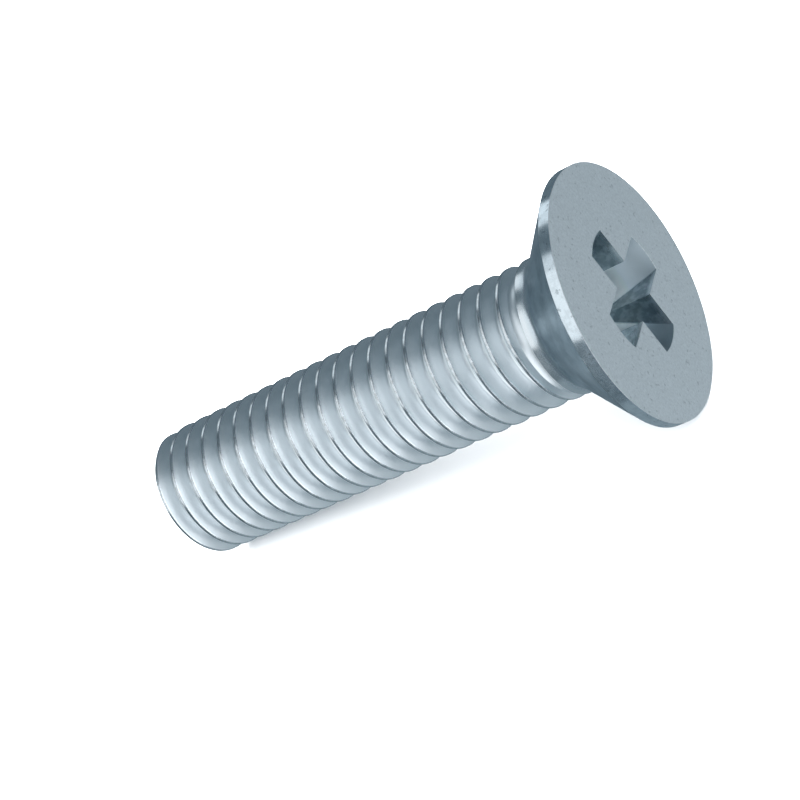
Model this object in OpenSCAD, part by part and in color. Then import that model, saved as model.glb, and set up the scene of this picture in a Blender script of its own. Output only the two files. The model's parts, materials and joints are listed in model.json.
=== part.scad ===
// Countersunk machine screw, M5 x 20, with a cross recess and a full-length thread.
// It lies on its side as it comes to rest, on the rim of the head and the end of the thread.
// The floor is z = 0, the origin is under its middle, and the head points along +X.

/* [Thread] */
// Major diameter over the crests, a little under the nominal 5 mm as on a real screw
thread_d = 4.95; // [4:0.05:6]
// Pitch, the advance in one turn
pitch = 0.8; // [0.7:0.05:0.9]
// Angle round the screw at which the groove leaves through the end, from straight down
thread_start = 10; // [0:5:355]
// Turns over which the groove gets shallow below the collar
runout_turns = 1.3; // [1:0.1:2]

/* [Length] */
// Overall length, from the end of the thread to the flat top of the head
screw_len = 19.75; // [12:0.25:40]

/* [Head] */
// Diameter of the flat top
head_d = 9.2; // [8.6:0.1:11]
// Full angle of the countersink
sink_angle = 90; // [80:1:100]
// Width of the straight land round the rim of the head
rim_land = 0.41; // [0.2:0.01:0.6]
// Width of the plain collar between the thread and the countersink
collar_w = 0.45; // [0.2:0.05:0.8]
// Radius of the fillet between the collar and the countersink
neck_fillet = 0.5; // [0.2:0.05:0.6]

/* [Cross recess] */
// Span of the cross at the top of the head, from wing end to wing end
cross_span = 4.58; // [4:0.02:5]
// Width of each wing
wing_w = 1.5; // [1.3:0.05:1.7]
// Depth of the recess
cross_depth = 2.5; // [1.8:0.1:2.8]
// Slope of the wing ends, from the axis
wing_slope = 26.5; // [20:0.5:30]
// Full angle of the drill point at the bottom of the recess
point_angle = 118; // [90:1:140]
// Angle of the cross round the screw, from straight down
cross_angle = -7; // [-45:1:45]

/* [Smoothness] */
// Straight steps in one turn of the thread
turn_steps = 30; // [18:2:36]

/* [Hidden] */

$fn = 96;
crest_r = thread_d / 2;
head_r = head_d / 2;
half_sink = sink_angle / 2;

// the section of the groove between two crests, 60 degrees wide, with a round root
flank_angle = 30;
crest_w = pitch / 8;
mouth_half = (pitch - crest_w) / 2;
root_r = 0.1443 * pitch;
flank_deep = mouth_half / tan(flank_angle) - 1.5 * root_r;
groove_deep = mouth_half / tan(flank_angle) - root_r;
// how far the cut goes past the crests, short of the next turn of itself
cut_over = 0.6 * crest_w;

// places along the axis, from the end of the thread
land_z = screw_len - rim_land;
cone_z = land_z - (head_r - crest_r) / tan(half_sink);
fillet_len = neck_fillet * tan(half_sink / 2);
collar_z = cone_z - collar_w;

// the groove starts below the end of the screw and stops where it has run out
groove_lead = -(mouth_half + cut_over);
groove_travel = collar_z + mouth_half - groove_lead;
steps = ceil(groove_travel / pitch * turn_steps);

// the screw rests on the low side of the head's rim and on the first crest near the end
rest_z = positive_mod(mouth_half - pitch * thread_start / 360, pitch);
tilt = atan((head_r - crest_r) / (land_z - rest_z));
end_height = crest_r * cos(tilt) - rest_z * sin(tilt);
middle_x = (screw_len * cos(tilt) + (head_r - crest_r) * sin(tilt)) / 2;

function positive_mod(a, b) = a - b * floor(a / b);

// share of the full depth that the groove has after this much travel
function depth_share(travel) = min(1, (groove_travel - travel) / (runout_turns * pitch));

// half the width of the groove at this distance below the crests
function half_width(deep) = mouth_half - deep * tan(flank_angle);

// one section of the groove, as [distance below the crests, distance along the axis];
// a shallow one keeps its flanks and has a wider floor, and at no share it is clear of the crests
function groove_section(share) = let (
        lift = (1 - share) * cut_over / 2,
        flank = flank_deep * share - lift,
        root = groove_deep * share - lift
    ) [
        [-cut_over, -half_width(-cut_over)],
        [flank, -half_width(flank)],
        [root, 0],
        [flank, half_width(flank)],
        [-cut_over, half_width(-cut_over)],
    ];

// the place of one point of the groove section on the helix
function on_helix(point, travel) = let (
        turn = thread_start + (groove_lead + travel) / pitch * 360,
        r = crest_r - point[0]
    ) [r * cos(turn), r * sin(turn), groove_lead + travel + point[1]];

// the helical groove, one section after the other, on past both ends of the thread
module groove_sweep() {
    points = [
        for (i = [0:steps])
            let (travel = i * groove_travel / steps)
                for (point = groove_section(depth_share(travel))) on_helix(point, travel)
    ];
    n = len(groove_section(1));
    walls = [
        for (i = [0:steps - 1], k = [0:n - 1])
            let (a = i * n + k, b = i * n + (k + 1) % n)
                each [[a, b + n, b], [a, a + n, b + n]]
    ];
    first = [for (k = [0:n - 1]) k];
    last = [for (k = [n - 1:-1:0]) steps * n + k];
    polyhedron(points, concat([first], walls, [last]));
}

// the groove stops square at the collar, and runs out through the end of the screw
module thread_groove() {
    intersection() {
        groove_sweep();
        translate([0, 0, -screw_len]) cylinder(h = screw_len + collar_z, r = head_r);
    }
}

// shank, collar, fillet, countersink and land, in one turned profile
module blank() {
    corner_r = crest_r + neck_fillet;
    corner_z = cone_z - fillet_len;
    rotate_extrude()
        difference() {
            polygon([
                [0, 0],
                [crest_r, 0],
                [crest_r, corner_z],
                [crest_r + fillet_len * sin(half_sink), cone_z + fillet_len * cos(half_sink)],
                [head_r, land_z],
                [head_r, screw_len],
                [0, screw_len],
            ]);
            translate([corner_r, corner_z]) circle(r = neck_fillet);
        }
}

// four wings that narrow with depth, with a drill point at the bottom
module cross_recess() {
    foot_r = cross_span / 2 - cross_depth * tan(wing_slope);
    point_deep = foot_r / tan(point_angle / 2);
    above = cross_depth / 2;
    translate([0, 0, screw_len])
        rotate(cross_angle)
            intersection() {
                rotate_extrude()
                    polygon([
                        [0, -cross_depth - point_deep],
                        [foot_r, -cross_depth],
                        [cross_span / 2 + above * tan(wing_slope), above],
                        [0, above],
                    ]);
                union() {
                    for (turn = [0, 90])
                        rotate(turn)
                            translate([-cross_span, -wing_w / 2, -2 * cross_depth])
                                cube([2 * cross_span, wing_w, 2 * cross_depth + above]);
                }
            }
}

module upright_screw() {
    difference() {
        blank();
        thread_groove();
        cross_recess();
    }
}

module screw() {
    color("slategray")
        translate([-middle_x, 0, end_height])
            rotate([0, 90 - tilt, 0])
                upright_screw();
}

screw();
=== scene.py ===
import json
import math

import bpy
from mathutils import Matrix, Quaternion, Vector

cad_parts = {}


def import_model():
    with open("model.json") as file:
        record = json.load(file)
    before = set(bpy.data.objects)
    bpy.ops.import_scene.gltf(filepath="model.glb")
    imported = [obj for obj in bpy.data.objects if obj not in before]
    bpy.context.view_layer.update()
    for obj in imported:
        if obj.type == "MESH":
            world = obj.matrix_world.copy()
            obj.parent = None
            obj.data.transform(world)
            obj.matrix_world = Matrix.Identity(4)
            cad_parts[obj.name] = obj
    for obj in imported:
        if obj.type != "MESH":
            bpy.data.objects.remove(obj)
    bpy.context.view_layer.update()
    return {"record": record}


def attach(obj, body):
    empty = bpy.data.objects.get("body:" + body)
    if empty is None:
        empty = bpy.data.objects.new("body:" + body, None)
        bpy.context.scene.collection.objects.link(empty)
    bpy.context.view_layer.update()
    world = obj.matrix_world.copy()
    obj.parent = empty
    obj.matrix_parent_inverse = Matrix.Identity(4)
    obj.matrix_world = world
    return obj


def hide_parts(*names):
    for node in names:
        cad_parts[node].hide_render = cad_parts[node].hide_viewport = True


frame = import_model()

MM = 0.001
# Lengths in millimetres that differ by less than this are the same
SAME = 1e-6

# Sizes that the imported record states, in millimetres
mounts = {mount["name"]: mount for mount in frame["record"]["mounts"]}
TIP = Vector(mounts["threaded_shank"]["pos_m"]) / MM
AXIS = -Vector(mounts["threaded_shank"]["axis"]).normalized()
ACROSS = Vector((0.0, 1.0, 0.0))
DOWN = ACROSS.cross(AXIS)


def along_axis(name):
    """How far from the end of the thread a mount sits, in millimetres."""
    return (Vector(mounts[name]["pos_m"]) / MM - TIP).dot(AXIS)


CREST_R = mounts["threaded_shank"]["dims"]["r_mm"]
COLLAR_Z = mounts["threaded_shank"]["dims"]["length_mm"]
HEAD_R = mounts["countersink_seat"]["dims"]["r_mm"]
LAND_Z = along_axis("countersink_seat")
FACE_Z = along_axis("head_top")
CROSS_R = mounts["cross_recess"]["dims"]["r_mm"]
CROSS_DEPTH = mounts["cross_recess"]["dims"]["length_mm"]

# Sizes that the record doesn't hold, in millimetres and degrees
PITCH = 0.8
THREAD_START = 10.0
RUNOUT_TURNS = 1.3
FLANK = math.radians(30.0)
HALF_SINK = math.radians(45.0)
NECK_FILLET = 0.5
WING_HALF = 0.75
WING_SLOPE = math.radians(26.5)
POINT_HALF = math.radians(59.0)
CROSS_ANGLE = -7.0

# Small roundings that a rolled and plated screw has, in millimetres
CREST_EDGE = 0.02
RIM_EDGE = 0.004
LAND_EDGE = 0.015
MOUTH_EDGE = 0.006
# Width of the narrow faces beside each rounding, which keep its shading off the large faces
EDGE_SIDE = 0.008

# Steps of the mesh
COLUMNS = 160
QUARTER = COLUMNS // 4
EDGE_STEPS = 3
FLANK_STEPS = 3
ROOT_STEPS = 3
COLLAR_STEPS = 2
FILLET_STEPS = 6
CONE_STEPS = 8
RIM_STEPS = 4
FACE_STEPS = 6
WALL_STEPS = 8
POINT_STEPS = 4
# The last ring of the face but one lies this share of the way to the mouth of the recess
FACE_LAST = 0.996
# Edges that turn by more than this are shaded as sharp
SHARP_ANGLE = math.radians(26.0)

# The standard coarse thread: crests an eighth of the pitch wide, and a round root
CREST_W = PITCH / 8
MOUTH_HALF = (PITCH - CREST_W) / 2
ROOT_R = 0.1443 * PITCH
FLANK_DEEP = MOUTH_HALF / math.tan(FLANK) - 1.5 * ROOT_R


def place(r, angle, z):
    """World position, in metres, of a point given round and along the screw; angle 0 is straight down."""
    spoke = math.cos(angle) * DOWN + math.sin(angle) * ACROSS
    return (TIP + AXIS * z + spoke * r) * MM


class Skin:
    """Points and faces of one closed mesh, built ring by ring."""

    def __init__(self):
        self.points = []
        self.faces = []

    def point(self, r, angle, z):
        self.points.append(place(r, angle, z))
        return len(self.points) - 1

    def face(self, corners):
        kept = [c for i, c in enumerate(corners) if c != corners[i - 1]]
        if len(set(kept)) == len(kept) > 2:
            self.faces.append(kept)

    def band(self, low, high):
        """Joins two closed rings that have as many points."""
        for i in range(len(low)):
            j = (i + 1) % len(low)
            self.face([low[i], low[j], high[j], high[i]])

    def ring(self, spots):
        return [self.point(*spot) for spot in spots]

    def fan(self, ring, middle):
        for i in range(len(ring)):
            self.face([ring[i], ring[(i + 1) % len(ring)], middle])

    def mesh(self, name):
        made = bpy.data.meshes.new(name)
        made.from_pydata(self.points, [], self.faces)
        made.validate()
        made.shade_smooth()
        made.set_sharp_from_angle(angle=SHARP_ANGLE)
        return made


def groove_depth_share(z):
    """Share of the full depth that the groove has where its middle is at z: it runs out at the collar."""
    return max(0.0, min(1.0, (COLLAR_Z + MOUTH_HALF - z) / (RUNOUT_TURNS * PITCH)))


def groove_half_profile(share):
    """Half the section of the thread, from the middle of the crest to the middle of the groove.

    Each entry is (distance from the groove's middle, depth below the crests).
    """
    flank_end = FLANK_DEEP * share
    edge = min(CREST_EDGE, flank_end / 2)
    start = MOUTH_HALF + edge * math.tan(FLANK)
    spots = [(PITCH / 2, 0.0), (start + EDGE_SIDE, 0.0)]
    for k in range(EDGE_STEPS + 1):
        turn = k / EDGE_STEPS * (math.pi / 2 - FLANK)
        spots.append((start - edge * math.sin(turn), edge * (1 - math.cos(turn))))
    last_w, last_d = spots[-1]
    beside = min(EDGE_SIDE, (flank_end - last_d) / 2)
    last_w, last_d = last_w - beside * math.sin(FLANK), last_d + beside * math.cos(FLANK)
    spots.append((last_w, last_d))
    floor_w = MOUTH_HALF - flank_end * math.tan(FLANK)
    for k in range(1, FLANK_STEPS + 1):
        t = k / FLANK_STEPS
        spots.append((last_w + (floor_w - last_w) * t, last_d + (flank_end - last_d) * t))
    centre = flank_end - ROOT_R * math.sin(FLANK) * share
    for k in range(1, ROOT_STEPS + 1):
        w = floor_w * (1 - k / ROOT_STEPS)
        x = w / floor_w * ROOT_R * math.cos(FLANK)
        bowl = math.sqrt(ROOT_R**2 - x**2)
        spots.append((w, centre + bowl * share))
    return spots


def thread_line_offsets(share):
    """The whole section from crest to crest, as (offset along the screw, depth), without its last point."""
    half = groove_half_profile(share)
    rising = [(-w, d) for w, d in half]
    falling = [(w, d) for w, d in reversed(half[1:-1])]
    return rising + falling


LINES = len(thread_line_offsets(1.0))


def thread_column(angle_deg, first_turn, last_turn):
    """Points (radius, z) of the thread's surface along one line of the shank."""
    spots = []
    for turn in range(first_turn, last_turn + 1):
        middle = PITCH * ((angle_deg - THREAD_START) / 360.0 + turn)
        for offset, depth in thread_line_offsets(groove_depth_share(middle)):
            spots.append((CREST_R - depth, middle + offset))
    return spots


def cut_at(spots, z):
    """Radius of the line of spots where it crosses z."""
    for (r0, z0), (r1, z1) in zip(spots, spots[1:]):
        if z0 <= z <= z1 and z1 > z0:
            return r0 + (r1 - r0) * (z - z0) / (z1 - z0)
    return CREST_R


def build_thread(skin):
    """Adds the threaded surface and returns its ring at the end and its ring at the collar."""
    first_turn, last_turn = -2, int(COLLAR_Z / PITCH) + 2
    columns, ends, tops = [], [], []
    for i in range(COLUMNS):
        degrees = 360.0 * i / COLUMNS
        angle = math.radians(degrees)
        spots = thread_column(degrees, first_turn, last_turn)
        end = skin.point(cut_at(spots, 0.0), angle, 0.0)
        top_r = cut_at(spots, COLLAR_Z)
        top = skin.point(top_r, angle, COLLAR_Z)
        column = []
        for r, z in spots:
            if z <= 0.0:
                column.append(end)
            elif z >= COLLAR_Z:
                column.append(top)
            else:
                column.append(skin.point(r, angle, z))
        columns.append(column)
        ends.append(end)
        tops.append((top, top_r))
    # one turn on, a line of the first column has moved up by one pitch
    columns.append(columns[0][LINES:] + [columns[0][-1]] * LINES)
    for low, high in zip(columns, columns[1:]):
        for m in range(len(low) - 1):
            skin.face([low[m], high[m], high[m + 1], low[m + 1]])
    return ends, tops


def arc(centre, radius, start, stop, steps):
    """Points (r, z) on an arc round centre, with its angles measured from +r towards +z."""
    made = []
    for k in range(steps + 1):
        a = start + (stop - start) * k / steps
        made.append((centre[0] + radius * math.cos(a), centre[1] + radius * math.sin(a)))
    return made


def head_profile():
    """Points (r, z) from the collar's lower edge, round the head, to the flat top."""
    cone_z = LAND_Z - (HEAD_R - CREST_R) / math.tan(HALF_SINK)
    fillet_len = NECK_FILLET * math.tan(HALF_SINK / 2)
    corner_z = cone_z - fillet_len
    collar = corner_z - COLLAR_Z
    spots = [(CREST_R, COLLAR_Z + collar * k / COLLAR_STEPS) for k in range(COLLAR_STEPS)]
    fillet_at = (CREST_R + NECK_FILLET, corner_z)
    spots += arc(fillet_at, NECK_FILLET, math.pi, math.pi - HALF_SINK, FILLET_STEPS)
    # the cone, up to the rounded edge of the land
    reach = LAND_EDGE * math.tan(HALF_SINK / 2)
    top_r = HEAD_R - reach * math.sin(HALF_SINK)
    top_z = LAND_Z - reach * math.cos(HALF_SINK)
    r0, z0 = spots[-1]
    for k in range(1, CONE_STEPS):
        t = k / CONE_STEPS
        spots.append((r0 + (top_r - r0) * t, z0 + (top_z - z0) * t))
    spots.append((top_r - EDGE_SIDE * math.sin(HALF_SINK), top_z - EDGE_SIDE * math.cos(HALF_SINK)))
    spots += arc((HEAD_R - LAND_EDGE, LAND_Z + reach), LAND_EDGE, -HALF_SINK, 0.0, EDGE_STEPS)
    spots.append((HEAD_R, LAND_Z + reach + EDGE_SIDE))
    spots.append((HEAD_R, FACE_Z - RIM_EDGE - EDGE_SIDE))
    spots += arc((HEAD_R - RIM_EDGE, FACE_Z - RIM_EDGE), RIM_EDGE, 0.0, math.pi / 2, RIM_STEPS)
    spots.append((HEAD_R - RIM_EDGE - EDGE_SIDE, FACE_Z))
    return spots


def cross_loop(end_r, half_w):
    """One closed outline of the cross, as (r, angle), starting in the corner between two wings."""
    corner = math.hypot(half_w, half_w)
    end_r = max(end_r, corner)
    end_along = math.sqrt(end_r**2 - half_w**2)
    side, tip = QUARTER // 4, QUARTER // 2
    loop = []
    for wing in range(4):
        middle = math.radians(CROSS_ANGLE + 90.0 * (wing + 1))
        for k in range(side):
            along = half_w + (end_along - half_w) * k / side
            loop.append((math.hypot(along, half_w), middle - math.atan2(half_w, along)))
        spread = math.atan2(half_w, end_along)
        for k in range(tip):
            loop.append((end_r, middle - spread + 2 * spread * k / tip))
        for k in range(side):
            along = end_along + (half_w - end_along) * k / side
            loop.append((math.hypot(along, half_w), middle + math.atan2(half_w, along)))
    return loop


def end_radius(depth):
    """How far the ends of the wings are from the axis at this depth."""
    return CROSS_R - depth * math.tan(WING_SLOPE)


def add_loops(skin, lower, loops):
    """Joins one ring after another on to the lower one, and returns the last."""
    for loop in loops:
        upper = skin.ring(loop)
        skin.band(lower, upper)
        lower = upper
    return lower


def face_loops(rim, mouth):
    """The flat top, from the rim in to the rounded mouth of the recess."""
    shares = [min(k / FACE_STEPS, FACE_LAST) for k in range(1, FACE_STEPS + 1)] + [1.0]
    for share in shares:
        spots = []
        for (r0, a0), (r1, a1) in zip(rim, mouth):
            turn = (a1 - a0 + math.pi) % (2 * math.pi) - math.pi
            spots.append((r0 + (r1 - r0) * share, a0 + turn * share, FACE_Z))
        yield spots


def recess_loop(end_r, half_w, depth):
    return [(r, a, FACE_Z - depth) for r, a in cross_loop(end_r, half_w)]


def mouth_loops():
    """The rounded edge of the recess."""
    for k in range(1, RIM_STEPS + 1):
        a = k / RIM_STEPS * math.pi / 2
        grow = MOUTH_EDGE * (1 - math.sin(a))
        depth = MOUTH_EDGE * (1 - math.cos(a))
        yield recess_loop(end_radius(depth) + grow, WING_HALF + grow, depth)


def wall_loops(circle_depth):
    """The walls of the recess, down to where the wings end in one circle."""
    for k in range(WALL_STEPS + 1):
        depth = MOUTH_EDGE + max(EDGE_SIDE, (circle_depth - MOUTH_EDGE) * k / WALL_STEPS)
        yield recess_loop(end_radius(depth), WING_HALF, depth)


def point_loops(foot_r, foot_z, point_z, angles):
    """The drill point at the bottom of the recess, without its tip."""
    for k in range(POINT_STEPS):
        t = k / POINT_STEPS
        yield [(foot_r * (1 - t), a, foot_z + (point_z - foot_z) * t) for a in angles]


def build_head(skin, tops):
    """Adds the collar, the head and the recess, on from the ring at the top of the thread."""
    profile = head_profile()
    turns = [2 * math.pi * i / COLUMNS for i in range(COLUMNS)]
    lower = []
    for (top, top_r), a in zip(tops, turns):
        lower.append(top if top_r > CREST_R - SAME else skin.point(CREST_R, a, COLLAR_Z))
    skin.band([top for top, _ in tops], lower)
    lower = add_loops(skin, lower, ([(r, a, z) for a in turns] for r, z in profile[1:]))
    # the outline of the cross starts in a corner, so the rim is turned to start beside it
    shift = round((CROSS_ANGLE + 45.0) / 360.0 * COLUMNS)
    rim = [(profile[-1][0], turns[(i + shift) % COLUMNS]) for i in range(COLUMNS)]
    lower = [lower[(i + shift) % COLUMNS] for i in range(COLUMNS)]
    mouth = cross_loop(CROSS_R + MOUTH_EDGE, WING_HALF + MOUTH_EDGE)
    lower = add_loops(skin, lower, face_loops(rim, mouth))
    lower = add_loops(skin, lower, mouth_loops())
    circle_depth = (CROSS_R - math.hypot(WING_HALF, WING_HALF)) / math.tan(WING_SLOPE)
    lower = add_loops(skin, lower, wall_loops(circle_depth))
    foot_r = end_radius(CROSS_DEPTH)
    foot_z = FACE_Z - CROSS_DEPTH
    point_z = foot_z - foot_r / math.tan(POINT_HALF)
    angles = [a for _, a in cross_loop(end_radius(circle_depth), WING_HALF)]
    lower = add_loops(skin, lower, point_loops(foot_r, foot_z, point_z, angles))
    skin.fan(lower, skin.point(0.0, 0.0, point_z))


def build_end(skin, ends):
    """Adds the flat end of the screw."""
    inner = skin.ring([(CREST_R / 2, 2 * math.pi * i / COLUMNS, 0.0) for i in range(COLUMNS)])
    skin.band(inner, ends)
    skin.fan(inner[::-1], skin.point(0.0, 0.0, 0.0))


def build_screw():
    skin = Skin()
    ends, tops = build_thread(skin)
    build_head(skin, tops)
    build_end(skin, ends)
    piece = bpy.data.objects.new("plated_screw", skin.mesh("plated_screw"))
    bpy.context.scene.collection.objects.link(piece)
    return piece


class Nodes:
    """Short ways to add shader nodes to one material."""

    def __init__(self, tree):
        self.tree = tree

    def add(self, kind, *inputs, **settings):
        made = self.tree.nodes.new("ShaderNode" + kind)
        for name, value in settings.items():
            setattr(made, name, value)
        for socket, value in zip(made.inputs, inputs):
            if isinstance(value, bpy.types.NodeSocket):
                self.tree.links.new(value, socket)
            elif value is not None:
                socket.default_value = value
        return made

    def vector(self, operation, *inputs):
        return self.add("VectorMath", *inputs, operation=operation)

    def calc(self, operation, *inputs):
        return self.add("Math", *inputs, operation=operation).outputs[0]

    def step(self, value, low, high, first=0.0, last=1.0):
        """Goes smoothly from first to last while value goes from low to high."""
        made = self.add("MapRange", value, low, high, first, last, interpolation_type="SMOOTHSTEP")
        return made.outputs[0]

    def noise(self, spot, size, detail):
        """Noise whose lumps are about this size, in millimetres."""
        return self.add("TexNoise", spot, None, 1 / (size * MM), detail).outputs["Fac"]

    def product(self, *values):
        made = values[0]
        for value in values[1:]:
            made = self.calc("MULTIPLY", made, value)
        return made

    def total(self, start, *pairs):
        """start plus each value times its share."""
        made = start
        for value, share in pairs:
            made = self.calc("MULTIPLY_ADD", value, share, made)
        return made


# Colour of the plate, and what is added to it where it looks cooler
ZINC = (0.755, 0.79, 0.81)
COOL = (-1.0, 0.0, 0.6)
# Height of the bumps of the plate, in metres
BUMP_HEIGHT = 1.5e-6


def zinc_masks(nodes, spot):
    """Where each surface of the screw is, by place along and round it: 1 there and 0 elsewhere."""
    from_tip = nodes.vector("SUBTRACT", spot, TIP * MM).outputs[0]
    along = nodes.vector("DOT_PRODUCT", from_tip, AXIS).outputs["Value"]
    off_axis = nodes.vector("CROSS_PRODUCT", from_tip, AXIS).outputs[0]
    away = nodes.vector("LENGTH", off_axis).outputs["Value"]

    def after(value, low, high):
        return nodes.step(value, low * MM, high * MM)

    def before(value, low, high):
        return nodes.step(value, low * MM, high * MM, 1.0, 0.0)

    # outside of the screw
    shank = before(along, COLLAR_Z - 0.02, COLLAR_Z + 0.02)
    outside = after(away, CROSS_R + 0.03, CREST_R - 0.05)
    below_land = nodes.product(outside, before(along, LAND_Z - 0.05, LAND_Z - 0.01))
    below_face = before(along, FACE_Z - 0.03, FACE_Z - 0.005)
    # The cone, fillet and crest masks carry painted shade, through TONE_SHARES
    masks = {
        "groove": nodes.product(shank, before(away, CREST_R - 0.05, CREST_R - 0.01)),
        "crest": nodes.product(shank, after(away, CREST_R - 0.015, CREST_R - 0.003)),
        "fillet": nodes.product(below_land, after(along, COLLAR_Z + 0.1, COLLAR_Z + 0.3)),
        "cone": nodes.product(below_land, after(along, COLLAR_Z + 0.3, COLLAR_Z + 0.6)),
        "land": nodes.product(outside, below_face, after(along, LAND_Z - 0.03, LAND_Z)),
        "face": after(along, FACE_Z - 0.03, FACE_Z - 0.005),
    }

    # recess: on the ends of the wings, mouth_r is the recess's radius at the face
    core = before(away, CROSS_R + 0.03, CREST_R - 0.05)
    inside = nodes.product(core, after(along, COLLAR_Z, COLLAR_Z + 0.1))
    depth = nodes.calc("SUBTRACT", FACE_Z * MM, along)
    mouth_r = nodes.calc("MULTIPLY_ADD", depth, math.tan(WING_SLOPE), away)
    at_end = after(mouth_r, CROSS_R - 0.08, CROSS_R - 0.02)
    off_end = before(mouth_r, CROSS_R - 0.08, CROSS_R - 0.02)
    wing_end = nodes.product(inside, at_end, after(depth, 0.005, 0.02))
    wall = nodes.product(inside, off_end, after(depth, 0.02, 0.25))
    lit_angle = math.radians(CROSS_ANGLE - 90.0)
    lit_way = math.cos(lit_angle) * DOWN + math.sin(lit_angle) * ACROSS
    lit_reach = nodes.vector("DOT_PRODUCT", from_tip, lit_way).outputs["Value"]
    # The ends of the wings and the walls carry painted shade, and the deep part of the wing ends and the
    # lit wall carry painted light, through TONE_SHARES
    masks["wing_end"] = wing_end
    masks["wing_deep"] = nodes.product(wing_end, after(depth, 0.15, 1.3))
    masks["wall"] = wall
    masks["lit_wall"] = nodes.product(wall, after(lit_reach, WING_HALF, WING_HALF + 0.05))
    return masks


def zinc_noises(nodes, spot):
    """Noises of the plate, each with lumps of its own size in millimetres."""
    return {
        "grain": nodes.noise(spot, 0.045, 2.0),
        "speckle": nodes.noise(spot, 0.09, 3.0),
        "pits": nodes.step(nodes.noise(spot, 0.04, 1.0), 0.56, 0.70),
        "mottle": nodes.noise(spot, 0.5, 4.0),
        "blotch": nodes.step(nodes.noise(spot, 0.9, 4.0), 0.35, 0.65),
        # Random patches of tone; on the crests they make the painted shade uneven
        "stain": nodes.step(nodes.noise(spot, 0.22, 4.0), 0.40, 0.65),
        "nicks": nodes.step(nodes.noise(spot, 0.20, 3.0), 0.62, 0.70),
    }


# How much lighter the plate is, by mask, by noise, or by noise on a mask; the painted shade and painted
# light among them are marked line by line
TONE_SHARES = (
    # Painted shade darkens the cone and the fillet; the blotches on the cone are lighter at random
    ("cone blotch", 0.24), ("cone", -0.26), ("fillet", -0.10),
    # Painted shade darkens the ends of the wings, and painted light lightens their deep part
    ("wing_end", -0.36), ("wing_deep", 0.62),
    # Painted shade darkens the walls of the recess, lighter in random patches, and painted light lightens
    # the lit wall
    ("wall stain", 0.22), ("wall", -0.60), ("lit_wall", 0.50),
    ("face pits", -0.10), ("face nicks", -0.22), ("face speckle", 0.34), ("face", -0.16),
    ("land nicks", -0.30), ("land stain", -0.12),
    # Painted shade darkens the crests, more in random patches
    ("groove", 0.11), ("crest stain", -0.24), ("crest", -0.06),
    ("mottle", 0.06), ("grain", 0.06),
)
# How much cooler: on the cone, the fillet, the recess walls and the wing ends, this cooler tint goes with
# their painted shade
COOL_SHARES = (
    ("cone", 0.04), ("fillet", 0.03), ("land", 0.03), ("wall", 0.05), ("wing_end", 0.05),
)
# How much rougher
ROUGH_START = 0.14
ROUGH_SHARES = (
    ("groove", 0.20), ("face", 0.24), ("fillet", 0.08), ("cone", 0.06), ("land", -0.05),
    ("wall", 0.10), ("wing_end", 0.24), ("mottle", 0.10),
)
# How high the mottle and the grain stand
MOTTLE_HEIGHT = 6.0
RIPPLE_START = 0.25
RIPPLE_SHARES = (("cone", 0.9), ("wall", 0.6))
DIMPLE_START = 0.35
DIMPLE_SHARES = (("face", 0.5), ("cone", 0.7), ("land", -0.2))


def zinc_material():
    """Bright zinc plate: smooth on crests and land, satin in the thread and on the face, mottled on the
    cone and in the recess. Painted shade darkens the cone, the fillet, the crests, the recess walls and the
    ends of the wings. Painted light lightens the deep part of the wing ends and one recess wall."""
    made = bpy.data.materials.new("zinc_plate")
    made.use_nodes = True
    nodes = Nodes(made.node_tree)
    shader = made.node_tree.nodes["Principled BSDF"]
    spot = nodes.add("TexCoord").outputs["Object"]
    values = zinc_masks(nodes, spot) | zinc_noises(nodes, spot)

    def blend(start, shares):
        pairs = []
        for names, share in shares:
            pairs.append((nodes.product(*(values[name] for name in names.split())), share))
        return nodes.total(start, *pairs)

    tone = blend(1.0, TONE_SHARES)
    colour = nodes.vector("SCALE", ZINC, None, None, tone).outputs[0]
    cool = blend(0.0, COOL_SHARES)
    colour = nodes.vector("MULTIPLY_ADD", COOL, cool, colour).outputs[0]
    ripple = nodes.product(values["mottle"], blend(RIPPLE_START, RIPPLE_SHARES))
    dimple = nodes.product(values["grain"], blend(DIMPLE_START, DIMPLE_SHARES))
    height = nodes.total(0.0, (ripple, MOTTLE_HEIGHT), (dimple, 1.0))
    bump = nodes.add("Bump", 1.0, BUMP_HEIGHT, None, height)
    nodes.tree.links.new(colour, shader.inputs["Base Color"])
    nodes.tree.links.new(blend(ROUGH_START, ROUGH_SHARES), shader.inputs["Roughness"])
    nodes.tree.links.new(bump.outputs[0], shader.inputs["Normal"])
    shader.inputs["Metallic"].default_value = 1.0
    return made


FLOOR_COLOUR = (0.86, 0.87, 0.88, 1.0)
FLOOR_ROUGH = 0.9
FLOOR_R = 0.6
FLOOR_SIDES = 64


def floor_material():
    made = bpy.data.materials.new("floor")
    made.use_nodes = True
    shader = made.node_tree.nodes["Principled BSDF"]
    shader.inputs["Base Color"].default_value = FLOOR_COLOUR
    shader.inputs["Roughness"].default_value = FLOOR_ROUGH
    return made


def build_floor():
    """A plain pale disc under the screw."""
    turns = [2 * math.pi * i / FLOOR_SIDES for i in range(FLOOR_SIDES)]
    rim = [(FLOOR_R * math.cos(a), FLOOR_R * math.sin(a), 0.0) for a in turns]
    mesh = bpy.data.meshes.new("floor")
    mesh.from_pydata(rim, [], [list(range(FLOOR_SIDES))])
    floor = bpy.data.objects.new("floor", mesh)
    floor.data.materials.append(floor_material())
    floor.visible_glossy = False
    floor.visible_shadow = False
    bpy.context.scene.collection.objects.link(floor)


# The camera, from the perspective of the photo: angles from the screw's axis and round it, in degrees
VIEW_FROM_AXIS = 57.29
VIEW_ROUND = 55.0
IMAGE_TILT = 24.79
CAMERA_AWAY = 74.74
AIM_Z = 10.065
LENS = 95.91
SHIFT = (-0.0087, -0.0052)


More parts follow.
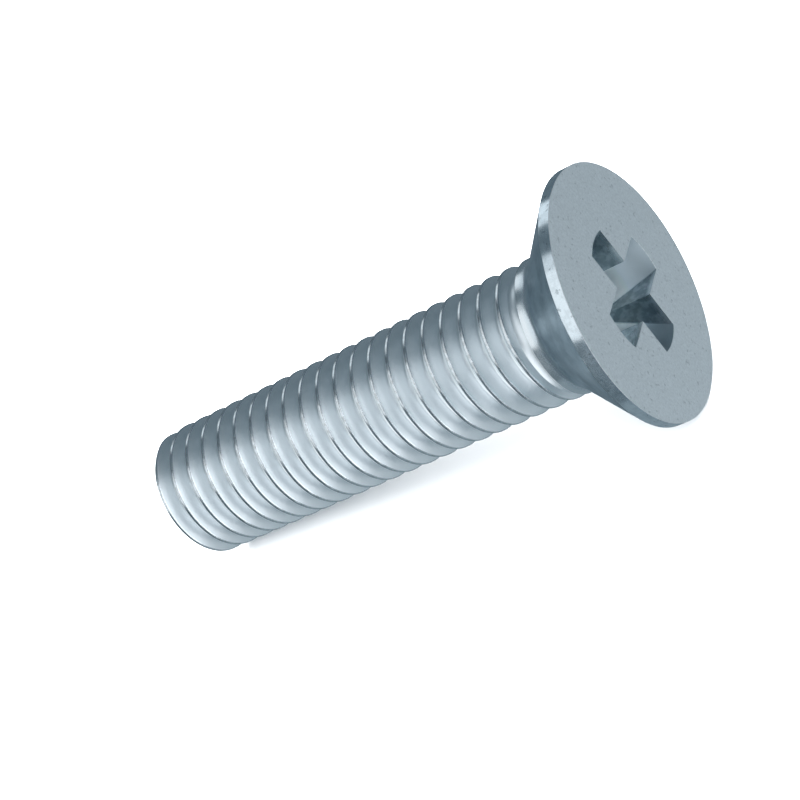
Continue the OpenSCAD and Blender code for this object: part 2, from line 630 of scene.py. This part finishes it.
def build_camera():
    round_it, off_axis, tilt = (math.radians(a) for a in (VIEW_ROUND, VIEW_FROM_AXIS, IMAGE_TILT))
    away = math.cos(round_it) * DOWN + math.sin(round_it) * ACROSS
    side = math.sin(round_it) * DOWN - math.cos(round_it) * ACROSS
    back = math.cos(off_axis) * AXIS - math.sin(off_axis) * away
    head_way = (AXIS - math.cos(off_axis) * back) / math.sin(off_axis)
    right = math.cos(tilt) * head_way + math.sin(tilt) * side
    up = back.cross(right)
    data = bpy.data.cameras.new("camera")
    data.lens = LENS
    data.shift_x, data.shift_y = SHIFT
    data.clip_start, data.clip_end = 0.005, 10.0
    camera = bpy.data.objects.new("camera", data)
    at = (TIP + AXIS * AIM_Z + back * CAMERA_AWAY) * MM
    camera.matrix_world = Matrix.Translation(at) @ Matrix((right, up, back)).transposed().to_4x4()
    bpy.context.scene.collection.objects.link(camera)
    bpy.context.scene.camera = camera


# Soft cards round the screw: azimuth from +X towards +Y, elevation, half width, half height and roll,
# in degrees, and radiance
CARDS = {
    "front": (-87.5, -12.0, 24.0, 38.0, 9.0, (1.12, 1.14, 1.16)),
    "front_left": (-136.5, 36.5, 23.5, 22.0, 0.0, (0.82, 0.84, 0.85)),
    "left_top": (-149.0, 66.0, 18.0, 9.0, 0.0, (0.62, 0.65, 0.67)),
    "head_end": (-7.5, 5.0, 17.0, 33.0, 0.0, (1.60, 1.65, 1.70)),
    "below": (10.0, -43.0, 28.0, 14.0, 0.0, (0.28, 0.30, 0.31)),
    "under": (0.0, -90.0, 38.0, 38.0, 0.0, (0.11, 0.13, 0.14)),
    "back": (134.0, 33.0, 10.0, 13.0, 0.0, (0.70, 0.75, 0.78)),
    "glint": (155.0, -24.0, 6.0, 5.0, 0.0, (4.00, 4.20, 4.30)),
    "recess": (-50.0, 49.0, 10.0, 7.0, 0.0, (2.00, 2.06, 2.10)),
    "right": (47.0, -24.0, 22.0, 20.0, 0.0, (0.26, 0.28, 0.29)),
}
# One more that lights the floor and the screw from above, but isn't mirrored
OVERHEAD = (0.0, 90.0, 60.0, 60.0, 0.0, (4.5, 4.5, 4.5))
# How far the cards are, in metres
CARD_AWAY = 0.4
WORLD_LIGHT = (0.122, 0.166, 0.197)


def add_light(name, azimuth, elevation, half_width, half_height, roll, radiance):
    """A rectangular card that faces the screw; roll turns it clockwise as the screw sees it."""
    data = bpy.data.lights.new(name, "AREA")
    data.shape = "RECTANGLE"
    data.size = 2 * CARD_AWAY * math.tan(math.radians(half_width))
    data.size_y = 2 * CARD_AWAY * math.tan(math.radians(half_height))
    brightest = max(radiance)
    data.color = [c / brightest for c in radiance]
    data.energy = brightest * math.pi * data.size * data.size_y
    a, e = math.radians(azimuth), math.radians(elevation)
    way = Vector((math.cos(a) * math.cos(e), math.sin(a) * math.cos(e), math.sin(e)))
    light = bpy.data.objects.new(name, data)
    light.location = way * CARD_AWAY
    light.rotation_mode = "QUATERNION"
    light.rotation_quaternion = way.to_track_quat("Z", "Y") @ Quaternion((0, 0, 1), math.radians(roll))
    bpy.context.scene.collection.objects.link(light)
    return light


def build_lights():
    world = bpy.data.worlds.new("studio")
    world.use_nodes = True
    background = world.node_tree.nodes["Background"]
    background.inputs["Color"].default_value = (*WORLD_LIGHT, 1.0)
    background.inputs["Strength"].default_value = 1.0
    bpy.context.scene.world = world
    for name, card in CARDS.items():
        add_light(name, *card)
    overhead = add_light("overhead", *OVERHEAD)
    overhead.visible_glossy = False


def main():
    build_camera()
    screw = build_screw()
    screw.data.materials.append(zinc_material())
    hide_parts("screw")
    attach(screw, "root")
    build_floor()
    build_lights()
    bpy.context.scene.view_settings.view_transform = "Standard"


main()
